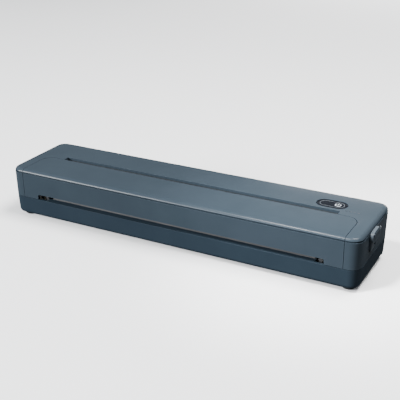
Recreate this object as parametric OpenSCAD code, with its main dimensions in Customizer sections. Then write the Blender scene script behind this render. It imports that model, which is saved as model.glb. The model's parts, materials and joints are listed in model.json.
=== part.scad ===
// A4 portable thermal printer with a hinged top cover.
// X runs along the length with the release slider at its right end, the paper leaves at the
// front (-Y), and Z = 0 is the surface that the feet stand on. All sizes are millimetres.

/* [Case] */
// Length of the case, without the release grip
body_l = 280; // [276:1:294]
// Depth of the case from front to rear
body_d = 66; // [66:0.5:72]
// Height of the case above the table
body_h = 40; // [40:0.5:44]
// Height of the underside above the table
belly_z = 2.6; // [2.4:0.1:3.2]
// Height of the parting line between the base and the upper case
seam_z = 17.3; // [17:0.1:18]
// Width of the gaps between the case parts
seam_gap = 0.4; // [0.3:0.05:0.5]
// Corner radius of the case seen from above
corner_r = 8; // [8:0.1:9.5]
// Radius of the rounded top edge
shoulder_r = 3.2; // [2.5:0.1:3.4]
// Radius of the rounded bottom edge
belly_r = 3.2; // [2.5:0.1:3.2]
// Wall thickness of the case
wall = 2; // [1.6:0.1:2.2]
// Inward lean of the walls from the groove down to the parting line
upper_draft = 0.4; // [0.2:0.1:0.6]
// Inward lean of the walls from the groove down to the underside
lower_draft = 1; // [0.8:0.1:1.2]
// Depth below the top of the groove that runs round the top edge
groove_drop = 3.2; // [3:0.1:3.6]
// Height of the opening of that groove
groove_h = 1.2; // [0.8:0.1:1.3]
// Depth of that groove
groove_depth = 0.9; // [0.6:0.1:0.9]

/* [Cover] */
// Width of the fixed end of the case at either side of the cover
end_w = 11; // [10.8:0.1:12]
// Depth of the cover from the front face to its rear edge
cover_d = 32; // [31.6:0.1:32.2]
// Thickness of the side walls of the cover
cover_side = 1.8; // [1.4:0.1:2]
// Corner radius at the rear of the cover
cover_r = 9; // [8:0.5:9.5]
// Distance of the hinge axis from the front face
hinge_in = 21; // [20.6:0.1:21.2]
// Distance of the hinge axis below the top
hinge_drop = 4; // [3.8:0.1:4.2]
// Radius of the hinge pins
hinge_pin_r = 2; // [1.5:0.1:2]
// Length of each hinge pin
hinge_pin_l = 9; // [8:0.5:9.5]

/* [Paper path] */
// Distance of the ends of the paper outlet from the ends of the case
outlet_in = 24; // [23:0.5:27]
// Height of the paper outlet above the parting line
outlet_h = 4.1; // [4.1:0.1:4.6]
// Distance of the ends of the paper inlet from the ends of the case
inlet_in = 27; // [26.5:0.5:30]
// Depth from the front face to the rear edge of the inlet
inlet_d = 37.4; // [37.4:0.1:38]
// Clear height of the curved path between the cover and the paper guide
path_gap = 1.8; // [1.6:0.1:2.2]
// Thickness of the paper guide
guide_t = 1.5; // [1.2:0.1:1.6]

/* [Platen] */
// Distance of the platen axis from the front face
platen_in = 12.5; // [12.3:0.1:12.8]
// Height of the platen axis
platen_z = 13.5; // [13.3:0.1:13.6]
// Radius of the rubber
platen_r = 5.5; // [5.2:0.1:5.6]
// Distance of the ends of the rubber from the ends of the case
rubber_in = 32.5; // [32:0.5:35]
// Radius of the shaft
platen_shaft_r = 2.5; // [2:0.1:2.5]

/* [Print head] */
// Distance of the ends of the heat sink from the ends of the case
head_in = 32.5; // [32.5:0.5:35]
// Depth of the heat sink
head_d = 12.3; // [11:0.1:12.4]
// Thickness of the heat sink
head_t = 4.2; // [3.8:0.1:4.4]
// Thickness of the heating plate under the heat sink
plate_t = 1; // [0.8:0.1:1.2]
// Gap between the heating plate and the platen, which the paper fills
nip_gap = 0.1; // [0.08:0.01:0.15]
// Travel of the head against its springs
head_travel = 0.8; // [0.6:0.1:0.9]
// Outer radius of the head springs
head_spring_r = 2.6; // [2.4:0.1:2.8]
// Wire radius of the head springs
head_wire_r = 0.3; // [0.25:0.05:0.35]
// Distance between neighbouring head springs
head_spring_pitch = 72; // [60:1:80]

/* [Drive] */
// Tooth size of the gears, as pitch diameter per tooth
gear_module = 0.5; // [0.48:0.01:0.5]
// Teeth of the platen gear
platen_teeth = 28; // [26:1:28]
// Teeth of the idler gear
idler_teeth = 20; // [19:1:20]
// Teeth of the small wheel of the reduction gear
small_teeth = 16; // [16:1:17]
// Teeth of the large wheel of the reduction gear
large_teeth = 40; // [38:1:40]
// Teeth of the motor pinion
pinion_teeth = 12; // [12:1:13]
// Width of the gears nearest to the side plate
inner_gear_w = 3.8; // [3:0.1:3.8]
// Width of the outer pair of gears
outer_gear_w = 2.6; // [2:0.1:2.6]
// Radius of the motor case
motor_r = 10; // [9.5:0.1:10]
// Length of the motor case
motor_l = 15; // [12:0.5:16]
// Radius of the motor shaft
motor_shaft_r = 0.75; // [0.7:0.05:0.9]
// Radius of the gear pins
gear_pin_r = 1.25; // [1:0.05:1.25]
// Running clearance of shafts in their bores
run_gap = 0.05; // [0.03:0.01:0.08]

/* [Side plates] */
// Distance of the inner faces of the side plates from the ends of the case
plate_in = 24.5; // [24.2:0.1:24.5]
// Thickness of the side plates
plate_w = 1.5; // [1.2:0.1:1.6]
// Radius of the platen bearings
bearing_r = 4.5; // [4:0.1:4.6]

/* [Release] */
// Travel of the release slider
slide_travel = 4.5; // [3.5:0.1:4.6]
// How far the grip stands out from the case wall
grip_proud = 3; // [2.5:0.1:3.5]
// Length of the grip
grip_l = 16; // [14:0.5:17]
// Height of the grip
grip_h = 8; // [7:0.1:8]
// Number of ribs on the grip
grip_ribs = 6; // [4:1:8]
// Distance of the latch shaft from the front face
latch_in = 8.7; // [8.6:0.1:8.8]
// Height of the latch shaft
latch_z = 7.4; // [7.3:0.1:7.5]
// Radius of the latch shaft
latch_r = 1.2; // [1:0.05:1.2]
// Distance of the inner faces of the latch hooks from the ends of the case
hook_in = 29.3; // [29.1:0.1:29.4]
// Thickness of the latch hooks
hook_w = 2.2; // [1.8:0.1:2.3]
// Radius of the keeper pins
keeper_r = 1; // [0.8:0.05:1]

/* [Controls and electronics] */
// Distance of the middle of the power button from the right end of the case
button_in = 36; // [35:0.5:40]
// Length of the power button
button_l = 22; // [18:0.5:23]
// Width of the power button
button_w = 12.6; // [11:0.1:13]
// Travel of the power button
button_travel = 0.6; // [0.4:0.1:0.7]
// Number of indicator windows
lamp_count = 4; // [3:1:4]
// Distance between the indicator windows
lamp_pitch = 2.9; // [2.6:0.1:3]
// Length of the main circuit board
board_l = 74; // [70:1:75]
// Thickness of the main circuit board
board_t = 1.6; // [1:0.1:1.6]
// Distance of the charging socket from the right end of the case
port_in = 74; // [66:1:80]
// Radius of a battery cell
cell_r = 9.2; // [9:0.1:9.2]
// Length of a battery cell
cell_l = 65; // [60:0.5:65]

/* [Feet and screws] */
// Distance of the feet from the ends of the case
foot_in = 9; // [9:0.5:16]
// Distance of the feet from the front and rear faces
foot_back = 9; // [9:0.5:12]
// Radius of the feet
foot_r = 4.6; // [4:0.1:4.7]
// Radius of the flat bottom of the feet
foot_flat_r = 3; // [2.5:0.1:3.4]
// Radius of the case screws
screw_r = 1; // [0.8:0.05:1.1]
// Radius of their heads
screw_head_r = 1.9; // [1.6:0.1:2]
// Distance of the case screws from the rear face
screw_back = 7.6; // [7.4:0.1:8]

/* [Hidden] */
$fn = 48;

// Colours
slate = [0.27, 0.33, 0.39];
slate_dark = [0.17, 0.21, 0.26];
black = [0.07, 0.07, 0.08];
steel = [0.66, 0.67, 0.69];
white_plastic = [0.88, 0.88, 0.86];
green_board = [0.07, 0.30, 0.18];

// Small gaps, overlaps and lengths that cut through a wall
touch = 0.02;
clear_gap = 0.3;
flange_w = 1;
through = 20;

// Faces and axes that the rest is placed from
end_x = body_l / 2;
front_y = -body_d / 2;
rear_y = body_d / 2;
groove_z = body_h - groove_drop;
cover_w = body_l - 2 * end_w;
cover_back = front_y + cover_d;
hinge_y = front_y + hinge_in;
hinge_z = body_h - hinge_drop;
outlet_w = body_l - 2 * outlet_in;
inlet_w = body_l - 2 * inlet_in;
inlet_back = front_y + inlet_d;
platen_y = front_y + platen_in;
platen_l = body_l - 2 * rubber_in;
head_l = body_l - 2 * head_in;
plate_x = end_x - plate_in;
hook_x = end_x - hook_in;
latch_y = front_y + latch_in;
button_x = end_x - button_in;
button_y = inlet_back + guide_t + clear_gap + button_w / 2 + flange_w;
port_x = end_x - port_in;
foot_x = end_x - foot_in;
foot_y = rear_y - foot_back;
screw_y = rear_y - screw_back;

// The grip is part of the length, so the case lies half its height off the middle
side_shift = -grip_proud / 2;
module placed() translate([side_shift, 0, 0]) children();

// The drawn outline lies in the Y-Z plane and runs along X from x0 to x1
module along_x(x0, x1) translate([x0, 0, 0]) rotate([90, 0, 90])
    linear_extrude(height = x1 - x0) children();
module rod_x(x0, x1, y, z, r) along_x(x0, x1) translate([y, z]) circle(r = r);
module both_ends() { children(); mirror([1, 0, 0]) children(); }
module block(x0, x1, y0, y1, z0, z1) translate([x0, y0, z0]) cube([x1 - x0, y1 - y0, z1 - z0]);
module pill(l, w) {
    square([l - w, w], center = true);
    for (s = [-1, 1]) translate([s * (l - w) / 2, 0]) circle(d = w);
}

// Case outline: the edge profile is drawn outwards from the centre of a corner and swept round the case
module outer_edge() difference() {
    union() {
        polygon([[0, belly_z], [corner_r - lower_draft - belly_r, belly_z],
            [corner_r - lower_draft, belly_z + belly_r], [corner_r - upper_draft, seam_z], [corner_r, groove_z],
            [corner_r, body_h - shoulder_r], [corner_r - shoulder_r, body_h], [0, body_h]]);
        translate([corner_r - lower_draft - belly_r, belly_z + belly_r]) intersection() {
            circle(r = belly_r);
            translate([0, -belly_r]) square(belly_r);
        }
        translate([corner_r - shoulder_r, body_h - shoulder_r]) intersection() {
            circle(r = shoulder_r);
            square(shoulder_r);
        }
    }
    translate([corner_r - groove_depth, groove_z]) square([2 * groove_depth, groove_h]);
}
top_wall = wall;
roof_z = body_h - top_wall;
floor_z = belly_z + wall;
module inner_edge(z0, z1) intersection() {
    polygon([[0, floor_z], [corner_r - lower_draft - belly_r + 0.4, floor_z],
        [corner_r - lower_draft - wall, belly_z + belly_r], [corner_r - upper_draft - wall, seam_z],
        [corner_r - wall, groove_z - 1], [corner_r - wall, body_h - shoulder_r - 0.6],
        [corner_r - shoulder_r - 0.3, roof_z], [0, roof_z]]);
    translate([0, z0]) square([corner_r, z1 - z0]);
}
module outer_slice(z0, z1) intersection() {
    outer_edge();
    translate([0, z0]) square([2 * corner_r, z1 - z0]);
}
module span_profile(span) {
    translate([span / 2, 0]) children();
    mirror([1, 0]) translate([span / 2, 0]) children();
}
module swept(z0, z1) {
    run_x = body_l - 2 * corner_r;
    run_y = body_d - 2 * corner_r;
    translate([-run_x / 2, -run_y / 2, z0]) cube([run_x, run_y, z1 - z0]);
    rotate([90, 0, 0]) linear_extrude(height = run_y, center = true) span_profile(run_x) children();
    rotate([90, 0, 90]) linear_extrude(height = run_x, center = true) span_profile(run_y) children();
    for (q = [[1, 1, 0], [-1, 1, 90], [-1, -1, 180], [1, -1, 270]])
        translate([q[0] * run_x / 2, q[1] * run_y / 2, 0]) rotate([0, 0, q[2]])
            rotate_extrude(angle = 90) children();
}

// Cover outline seen from above, g wider than the middle of the seam
module cover_plan(g) {
    half = cover_w / 2 + g;
    back = cover_back + g;
    r = cover_r + g;
    translate([-half, -body_d]) square([2 * half, body_d + back - r]);
    translate([r - half, -body_d]) square([2 * (half - r), body_d + back]);
    for (s = [-1, 1]) translate([s * (half - r), back - r]) circle(r = r);
}
// Radius that the rear edge of the cover sweeps about the hinge axis, in the middle and at the round corners
hinge_reach = norm([cover_back - seam_gap / 2 - hinge_y, body_h - hinge_z]);
function corner_reach(a) = norm([cover_back - cover_r + (cover_r - seam_gap / 2) * sin(a) - hinge_y,
    body_h - hinge_z]) + seam_gap;
corner_steps = [for (a = [90:-10:0])
    [corner_reach(a), cover_w / 2 - cover_r + (cover_r + seam_gap / 2) * cos(a)]];
module cover_sweep() translate([0, hinge_y, hinge_z]) rotate([0, 90, 0]) rotate_extrude()
    polygon(concat([for (p = corner_steps) p], [[0, corner_steps[9][1]], [0, -corner_steps[9][1]]],
        [for (i = [9:-1:0]) [corner_steps[i][0], -corner_steps[i][1]]]));

// Heights and places that several pieces share
upper_z = seam_z + seam_gap / 2;
lower_z = seam_z - seam_gap / 2;
wall_x = cover_w / 2 + seam_gap / 2;
wall_w = 1.5;
cover_x = cover_w / 2 - seam_gap / 2;
cover_inner_x = cover_x - cover_side;
guide_in_r = hinge_reach + path_gap;
guide_out_r = guide_in_r + guide_t;
board_z = roof_z - 8;
board_top = board_z + board_t;
board_x1 = end_x - 14;
board_x0 = board_x1 - board_l;
board_y0 = hinge_y + guide_out_r + 2.2;
board_y1 = rear_y - 4;
post_r = 2.8;
board_posts = [[board_x0 + 4, board_y0 + 4], [board_x0 + 4, board_y1 - 4], [board_x1 - 13, board_y1 - 4],
    [board_x1 - 4, board_y0 + 11]];
end_post_x = end_x - 19;
tray_x0 = motor_l - plate_x + 10.5;
case_posts = [[-end_post_x, screw_y], [tray_x0 - 6.8, screw_y], [board_x0 - 4, screw_y], [end_post_x, screw_y]];
screw_seat_z = 10;
screw_l = 12;
lamp_x = end_x - 19.1;
lamp_y = cover_back + 7.5;
lamp_l = 1.8;
lamp_w = 1;
lamp_xs = [for (i = [0:lamp_count - 1]) lamp_x + (i - (lamp_count - 1) / 2) * lamp_pitch];
port_w = 8.9;
port_h = 3.2;
port_z = board_top + port_h / 2;
port_y = rear_y - 0.8;
port_l = 7.3;
hinge_boss_r = 3.5;
hinge_pin_x1 = wall_x + 3.1;

// Release mechanism: the slider runs along Y, its pin turns the arm on the latch shaft
slider_x0 = end_x - 4.1;
slider_x1 = slider_x0 + 1.4;
slider_y0 = hinge_y - 3;
slider_y1 = slider_y0 + 20;
slider_z0 = body_h - 18;
slider_z1 = slider_z0 + 9.6;
rail_t = 1.4;
slider_pin_y = slider_y0 + 4;
slider_pin_z = slider_z0 + 6;
slider_pin_r = 1.2;
stem_y0 = slider_y0 + 2.5;
stem_y1 = stem_y0 + 6;
grip_y = stem_y0 - 3 + grip_l / 2;
grip_z = body_h - 6;
spring_x = slider_x0;
spring_short = 6;
spring_end_y = slider_y1 + slide_travel + spring_short;
release_spring_r = 1.6;
arm_x0 = slider_x0 - 1.9;
arm_x1 = arm_x0 + 1;
arm_angle = atan2(slider_pin_z - latch_z, slider_pin_y - latch_y);
arm_l = norm([slider_pin_z - latch_z, slider_pin_y - latch_y]) + 4;
latch_hub_r = 1.8;

// Print head in the cover
nip_z = platen_z + platen_r + nip_gap;
keeper_y = front_y + 4.4;
keeper_z = nip_z + 4.5;
sink_z = nip_z + plate_t;
sink_top = sink_z + head_t;
sink_y0 = platen_y - 8;
sink_y1 = sink_y0 + head_d;
end_pin_r = 1.5;
end_pin_y = platen_y + 2;
end_pin_z = sink_z + head_t / 2;
pin_slot_r = end_pin_r + 0.15;
rib_x0 = hook_x - 2.1;
rib_w = 1.6;
outer_rib_x0 = hook_x + hook_w + 0.5;
spring_boss_z = roof_z - 5;
spring_y = platen_y - 1;
spring_xs = [for (i = [-1:1]) i * head_spring_pitch];
socket_x0 = head_l / 2 - 15;
socket_x1 = socket_x0 + 5.7;
cable_w = 5;
cable_t = 0.3;
cable_y0 = platen_y + 0.1;
cable_y1 = cable_y0 + 5.6;
cable_z = sink_top + 2.2;

// Gear train in the left end, outside the side plate
addendum = 0.8 * gear_module;
dedendum = gear_module;
backlash = 0.1;
pressure_angle = 20;
plate_out = plate_x + plate_w;
cable_x0 = plate_out + 0.3;
inner_gear_x = plate_out + 1.5;
inner_gear_end = inner_gear_x + inner_gear_w;
outer_gear_x = inner_gear_end + 1.1;
outer_gear_end = outer_gear_x + outer_gear_w;
idler_line = 5;
reduction_line = 12;
motor_line = 0;
function pitch_r(n) = gear_module * n / 2;
function step_to(from, line, d) = [from[0] + d * cos(line), from[1] + d * sin(line)];
platen_at = [platen_y, platen_z];
idler_at = step_to(platen_at, idler_line, pitch_r(platen_teeth + idler_teeth));
reduction_at = step_to(idler_at, reduction_line, pitch_r(idler_teeth + small_teeth));
motor_at = step_to(reduction_at, motor_line, pitch_r(large_teeth + pinion_teeth));
// Turn of the second gear of a pair, so that its teeth stand in the gaps of the first
function mesh_turn(line, turn, n1, n2) = line + 180 + 180 / n2 + (line - turn) * n1 / n2;
platen_turn = idler_line;
idler_turn = mesh_turn(idler_line, platen_turn, platen_teeth, idler_teeth);
small_turn = mesh_turn(reduction_line, idler_turn, idler_teeth, small_teeth);
large_turn = motor_line;
pinion_turn = mesh_turn(motor_line, large_turn, large_teeth, pinion_teeth);

// Involute gear outline with n teeth, one of them on the +X line
function involute(r, base) = sqrt(max(0, r * r / (base * base) - 1)) * 180 / PI - acos(min(1, base / r));
module gear_outline(n) {
    pitch = pitch_r(n);
    base = pitch * cos(pressure_angle);
    root = pitch - dedendum;
    tip = pitch + addendum;
    half_tooth = 90 / n - backlash / 2 / pitch * 90 / PI + involute(pitch, base);
    radii = [for (i = [0:3]) let (low = max(base, root)) low + (tip - low) * i / 3];
    tooth = concat([[root, -half_tooth]], [for (r = radii) [r, involute(r, base) - half_tooth]],
        [for (i = [3:-1:0]) [radii[i], half_tooth - involute(radii[i], base)]], [[root, half_tooth]]);
    polygon([for (k = [0:n - 1]) for (q = tooth)
        [q[0] * cos(q[1] + 360 * k / n), q[0] * sin(q[1] + 360 * k / n)]]);
}
module gear(x0, x1, at, n, turn, bore) along_x(x0, x1) translate(at) difference() {
    rotate(turn) gear_outline(n);
    circle(r = bore);
}

// Case
module screw_post(z0, z1, r) difference() {
    translate([0, 0, z0]) cylinder(r = post_r, h = z1 - z0);
    translate([0, 0, z0 - 1]) cylinder(r = r, h = z1 - z0 + 2);
}
module at_case_posts() for (p = case_posts) translate([p[0], p[1], 0]) children();
module at_board_posts() for (p = board_posts) translate([p[0], p[1], 0]) children();
module at_feet() for (x = [-1, 1], y = [-1, 1]) translate([x * foot_x, y * foot_y, 0]) children();
peg_r = 1.6;
plate_screw_y = rear_y - 22;
cell_gap = 0.5;
tray_end = 1.4;
contact_t = 0.4;
cells_x0 = tray_x0 + tray_end + contact_t + 0.2;
tray_x1 = cells_x0 + 2 * cell_l + cell_gap + contact_t + 0.2 + tray_end;
cell_y = rear_y - 15.6;
cell_z = floor_z + 1 + cell_r;
tray_half = cell_r + 0.8;
ledge_x = hook_x - 1.7;
module lower_shell() color(slate_dark) placed() difference() {
    union() {
        difference() {
            swept(belly_z, lower_z) outer_slice(belly_z, lower_z);
            swept(floor_z, lower_z + 1) inner_edge(floor_z, lower_z + 1);
        }
        at_case_posts() translate([0, 0, belly_z + 0.5]) cylinder(r = post_r, h = lower_z - belly_z - 0.5);
        block(-ledge_x, ledge_x, front_y + 1.5, platen_y - platen_r - 1, lower_z - 1.7, lower_z);
    }
    at_case_posts() {
        cylinder(r = screw_head_r + 0.1, h = screw_seat_z);
        cylinder(r = screw_r + 0.15, h = body_h);
    }
    at_feet() cylinder(r = peg_r + touch, h = floor_z + 1);
    both_ends() translate([plate_out + 3, plate_screw_y, floor_z - 1.6]) cylinder(r = screw_r + touch, h = 2);
}
rail_x1 = slider_x1 + 1.5;
rail_y1 = spring_end_y + 1.5;
slot_z0 = slider_z0 + 0.5;
slot_z1 = slider_z1 + 0.3;
module upper_housing() color(slate) placed() difference() {
    union() {
        difference() {
            swept(upper_z, body_h) outer_slice(upper_z, body_h);
            swept(upper_z - 1, roof_z) inner_edge(upper_z - 1, roof_z);
        }
        both_ends() {
            block(wall_x, wall_x + wall_w, front_y + 1.5, -wall, upper_z, roof_z + 1);
            block(wall_x, wall_x + wall_w, front_y + wall + 3, -wall, seam_z - 3, upper_z);
            rod_x(wall_x, wall_x + wall_w + 1.9, hinge_y, hinge_z, hinge_boss_r);
        }
        at_case_posts() screw_post(upper_z, roof_z + 1, screw_r + touch);
        at_board_posts() screw_post(board_top, roof_z + 1, screw_r + touch);
        // Rails of the release slider and the stop of its spring
        for (z = [slider_z0 - clear_gap - rail_t, slider_z1 + clear_gap])
            block(slider_x0 - 0.1, rail_x1, slider_y0 - 3, rail_y1, z, z + rail_t);
        block(wall_x + wall_w, rail_x1, spring_end_y, rail_y1, slider_z0 - 1, slider_z1 + 1);
    }
    // Room of the cover: its front half, and what its rear edge sweeps
    translate([0, 0, upper_z - 1]) linear_extrude(height = body_h) intersection() {
        cover_plan(seam_gap / 2);
        translate([-body_l, -body_d]) square([2 * body_l, body_d + hinge_y]);
    }
    cover_sweep();
    block(-inlet_w / 2, inlet_w / 2, hinge_y, inlet_back, roof_z - 1, body_h + 1);
    translate([button_x, button_y, roof_z - 1]) linear_extrude(height = through)
        pill(button_l + 2 * clear_gap, button_w + 2 * clear_gap);
    for (x = lamp_xs) translate([x, lamp_y, roof_z - 1]) linear_extrude(height = through)
        pill(lamp_l + 2 * touch, lamp_w + 2 * touch);
    both_ends() rod_x(wall_x - 1, hinge_pin_x1, hinge_y, hinge_z, hinge_pin_r + touch);
    block(wall_x + wall_w + 3, wall_x + through, stem_y0 - 0.5, stem_y1 + slide_travel + 3, slot_z0, slot_z1);
    translate([port_x, body_d / 2 + 2, port_z]) rotate([90, 0, 0]) linear_extrude(height = wall + 4)
        pill(port_w + 0.8, port_h + 0.8);
}
module rubber_feet() color(black) placed() at_feet() {
    rotate_extrude() union() {
        polygon([[0, 0], [foot_flat_r, 0], [foot_r, belly_z - 0.8], [foot_r, belly_z], [0, belly_z]]);
        intersection() {
            translate([foot_flat_r, 0]) square([foot_r - foot_flat_r, belly_z - 0.8]);
            translate([foot_flat_r, belly_z - 0.8]) circle(r = foot_r - foot_flat_r);
        }
    }
    translate([0, 0, belly_z]) cylinder(r = peg_r, h = wall);
}
module screw(seat_z, length, up) translate([0, 0, seat_z]) mirror([0, 0, up ? 0 : 1]) {
    cylinder(r = screw_r, h = length);
    difference() {
        translate([0, 0, -1.5]) cylinder(r = screw_head_r, h = 1.5);
        for (a = [0, 90]) rotate([0, 0, a]) translate([-1.1, -0.25, -2.5]) cube([2.2, 0.5, 1.9]);
    }
}
module case_screws() color(steel) placed() at_case_posts() screw(screw_seat_z, screw_l, true);

// Frame
module side_plate_outline() difference() {
    polygon([[platen_y - 5.5, floor_z], [rear_y - 13, floor_z], [rear_y - 13, hinge_z - 12],
        [rear_y - 19, hinge_z - 8], [hinge_y + 14, hinge_z - 8], [hinge_y + 10, hinge_z - 10.5],
        [hinge_y + 6, platen_z + 9], [platen_y - 1.5, platen_z + 6.5], [platen_y - 5.5, platen_z + 3.5]]);
    translate(platen_at) circle(r = bearing_r + touch);
    translate([latch_y, latch_z]) circle(r = latch_r + run_gap);
}
module plate_foot() difference() {
    block(plate_out - 0.1, plate_out + 6, plate_screw_y - 7, plate_screw_y + 7, floor_z, floor_z + plate_w);
    translate([plate_out + 3, plate_screw_y, 0]) cylinder(r = screw_r + 0.1, h = body_h);
}
motor_screw_step = 6.5;
module side_plate_left() color(steel) placed() mirror([1, 0, 0]) {
    along_x(plate_x, plate_out) difference() {
        side_plate_outline();
        translate(motor_at) circle(r = 3 + touch);
        for (s = [-1, 1]) translate(motor_at + [s * motor_screw_step, 0]) circle(r = screw_r + 0.1);
        for (p = [idler_at, reduction_at]) translate(p) circle(r = gear_pin_r + touch);
    }
    plate_foot();
}
module side_plate_right() color(steel) placed() {
    along_x(plate_x, plate_out) side_plate_outline();
    plate_foot();
}
module plate_screws() color(steel) placed() both_ends()
    translate([plate_out + 3, plate_screw_y, 0]) screw(floor_z + plate_w, plate_w + 1.5, false);
module platen_bearings() color("ivory") placed() both_ends() difference() {
    union() {
        rod_x(plate_x - 1, plate_out + 1, platen_y, platen_z, bearing_r);
        rod_x(plate_x - 1, plate_x, platen_y, platen_z, bearing_r + 0.8);
    }
    rod_x(plate_x - 2, plate_out + 2, platen_y, platen_z, platen_shaft_r + run_gap);
}
guide_low = [platen_y + 4.2, nip_z + 0.5];
guide_bend = [hinge_y, hinge_z - guide_in_r];
flare_z = hinge_z - 2.8;
flare_y = hinge_y + sqrt(pow(guide_in_r, 2) - pow(hinge_z - flare_z, 2));
sensor_x = head_l / 2 - 47.5;
module paper_guide() color(black) placed() difference() {
    union() {
        along_x(-inlet_w / 2, inlet_w / 2) translate([hinge_y, hinge_z]) intersection() {
            difference() {
                circle(r = guide_out_r);
                circle(r = guide_in_r);
            }
            translate([-0.2, -2 * guide_out_r])
                square([2 * guide_out_r, 2 * guide_out_r + flare_z - hinge_z]);
        }
        along_x(-inlet_w / 2, inlet_w / 2) polygon([guide_low, guide_bend, guide_bend + [0.4, 0.03],
            guide_bend + [0.4, -guide_t], guide_bend - [0, guide_t], guide_low - [0, guide_t]]);
        along_x(-inlet_w / 2, inlet_w / 2) polygon([[flare_y, flare_z], [inlet_back, hinge_z + 0.3],
            [inlet_back, roof_z], [inlet_back + guide_t, roof_z], [inlet_back + guide_t, hinge_z - 0.5],
            [flare_y + guide_t, flare_z - 0.8], [flare_y + 0.4, flare_z - 0.8]]);
    }
    block(sensor_x - 2.5, sensor_x + 2.5, hinge_y + 0.5, hinge_y + 2.5,
        hinge_z - guide_out_r - 2, hinge_z - guide_in_r + 2);
}
module paper_sensor() color(black) placed() {
    top = hinge_z - guide_out_r - 0.1;
    block(sensor_x - 4, sensor_x + 4, hinge_y + 0.1, hinge_y + 3.5, top - 3.2, top);
    block(sensor_x - 1.5, sensor_x + 1.5, hinge_y + 0.8, hinge_y + 2.2, top, top + 0.8);
}

// Drive
module drive_motor() color(steel) placed() mirror([1, 0, 0]) difference() {
    union() {
        rod_x(plate_x - motor_l, plate_x, motor_at[0], motor_at[1], motor_r);
        rod_x(plate_x - 1, plate_x + 1.1, motor_at[0], motor_at[1], 3);
        block(plate_x - motor_l + 2, plate_x - 4, motor_at[0] - 4, motor_at[0] + 4,
            motor_at[1] + motor_r - 1, motor_at[1] + motor_r + 1.6);
    }
    rod_x(plate_x - motor_l + 1, plate_x + 2, motor_at[0], motor_at[1], motor_shaft_r + run_gap);
    for (s = [-1, 1])
        rod_x(plate_x - 3, plate_x + 1, motor_at[0] + s * motor_screw_step, motor_at[1], screw_r + touch);
}
module motor_screws() color(steel) placed() mirror([1, 0, 0]) for (s = [-1, 1])
    translate([0, motor_at[0] + s * motor_screw_step, motor_at[1]]) rotate([0, 90, 0])
        screw(plate_out, plate_w + 2.5, false);
idler_pin_end = inner_gear_end + 0.1;
reduction_pin_end = outer_gear_end + 0.2;
module gear_pin(at, x1) {
    rod_x(plate_x + 0.1, x1 + 0.1, at[0], at[1], gear_pin_r);
    rod_x(x1, x1 + 0.5, at[0], at[1], gear_pin_r + 0.7);
}
module gear_pins() color(steel) placed() mirror([1, 0, 0]) {
    gear_pin(idler_at, idler_pin_end);
    gear_pin(reduction_at, reduction_pin_end);
}
module platen_shaft() color(steel) placed()
    rod_x(-inner_gear_end - 0.3, plate_out + 1.6, platen_y, platen_z, platen_shaft_r);
module platen_rubber() color(black) placed() difference() {
    rod_x(-platen_l / 2, platen_l / 2, platen_y, platen_z, platen_r);
    rod_x(-platen_l, platen_l, platen_y, platen_z, platen_shaft_r + touch);
}
module platen_gear() color(white_plastic) placed()
    gear(-inner_gear_end, -inner_gear_x, platen_at, platen_teeth, platen_turn, platen_shaft_r + touch);
module idler_gear() color(white_plastic) placed()
    gear(-inner_gear_end, -inner_gear_x, idler_at, idler_teeth, idler_turn, gear_pin_r + run_gap);
module reduction_gear() color(white_plastic) placed() {
    gear(-inner_gear_end, -inner_gear_x, reduction_at, small_teeth, small_turn, gear_pin_r + run_gap);
    gear(-outer_gear_end, -outer_gear_x, reduction_at, large_teeth, large_turn, gear_pin_r + run_gap);
    difference() {
        rod_x(-outer_gear_x, -inner_gear_end, reduction_at[0], reduction_at[1], gear_pin_r + 1.6);
        rod_x(-outer_gear_x - 1, -inner_gear_x, reduction_at[0], reduction_at[1], gear_pin_r + run_gap);
    }
}
module motor_shaft() color(steel) placed()
    rod_x(-outer_gear_end - 0.3, motor_l - plate_x - 1.5, motor_at[0], motor_at[1], motor_shaft_r);
module motor_pinion() color("gold") placed()
    gear(-outer_gear_end, -outer_gear_x, motor_at, pinion_teeth, pinion_turn, motor_shaft_r + touch);

// Battery and electronics
module battery_tray() color(black) placed() difference() {
    union() {
        block(tray_x0, tray_x1, cell_y - tray_half, cell_y + tray_half, floor_z, cell_z - 2);
        for (x = [tray_x0, tray_x1 - tray_end])
            block(x, x + tray_end, cell_y - 6, cell_y + 6, floor_z, cell_z + 5);
    }
    rod_x(tray_x0 + tray_end, tray_x1 - tray_end, cell_y, cell_z, cell_r + 0.15);
}
module battery_cells() color("steelblue") placed() for (x = [cells_x0, cells_x0 + cell_l + cell_gap])
    rod_x(x, x + cell_l, cell_y, cell_z, cell_r);
module battery_contacts() color(steel) placed()
    for (x = [tray_x0 + tray_end + 0.05, tray_x1 - tray_end - 0.05 - contact_t])
        rod_x(x, x + contact_t, cell_y, cell_z, 4);
module main_board() color(green_board) placed() difference() {
    block(board_x0, board_x1, board_y0, board_y1, board_z, board_top);
    at_board_posts() translate([0, 0, board_z - 1]) cylinder(r = screw_r + 0.1, h = 5);
    // Corner notch round the post of a case screw
    block(case_posts[3][0] - post_r - 0.5, body_l, screw_y - post_r - 0.5, body_d, board_z - 1, board_top + 1);
}
module board_screws() color(steel) placed() at_board_posts() screw(board_z, 5, true);
module board_chips() color(black) placed() {
    block(board_x0 + 28, board_x0 + 37, board_y0 + 6, board_y0 + 15, board_z - 1, board_z);
    block(board_x0 + 14, board_x0 + 20, board_y0 + 8, board_y0 + 13, board_z - 1, board_z);
    block(board_x0 + 42, board_x0 + 47, board_y0 + 4, board_y0 + 8, board_z - 1.4, board_z);
    block(board_x0 + 12, board_x0 + 22, board_y0 + 2, board_y0 + 8, board_top, board_top + 2.6);
    for (x = [board_x0 + 30, board_x0 + 37])
        translate([x, board_y0 + 17, board_z - 4]) cylinder(r = 2.5, h = 4);
}
module board_socket() color(white_plastic) placed()
    block(cable_x0 - 1.5, cable_x0 + cable_w + 1.5, board_y0 + 3.3, board_y0 + 7, board_top, board_top + 2.4);
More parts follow.
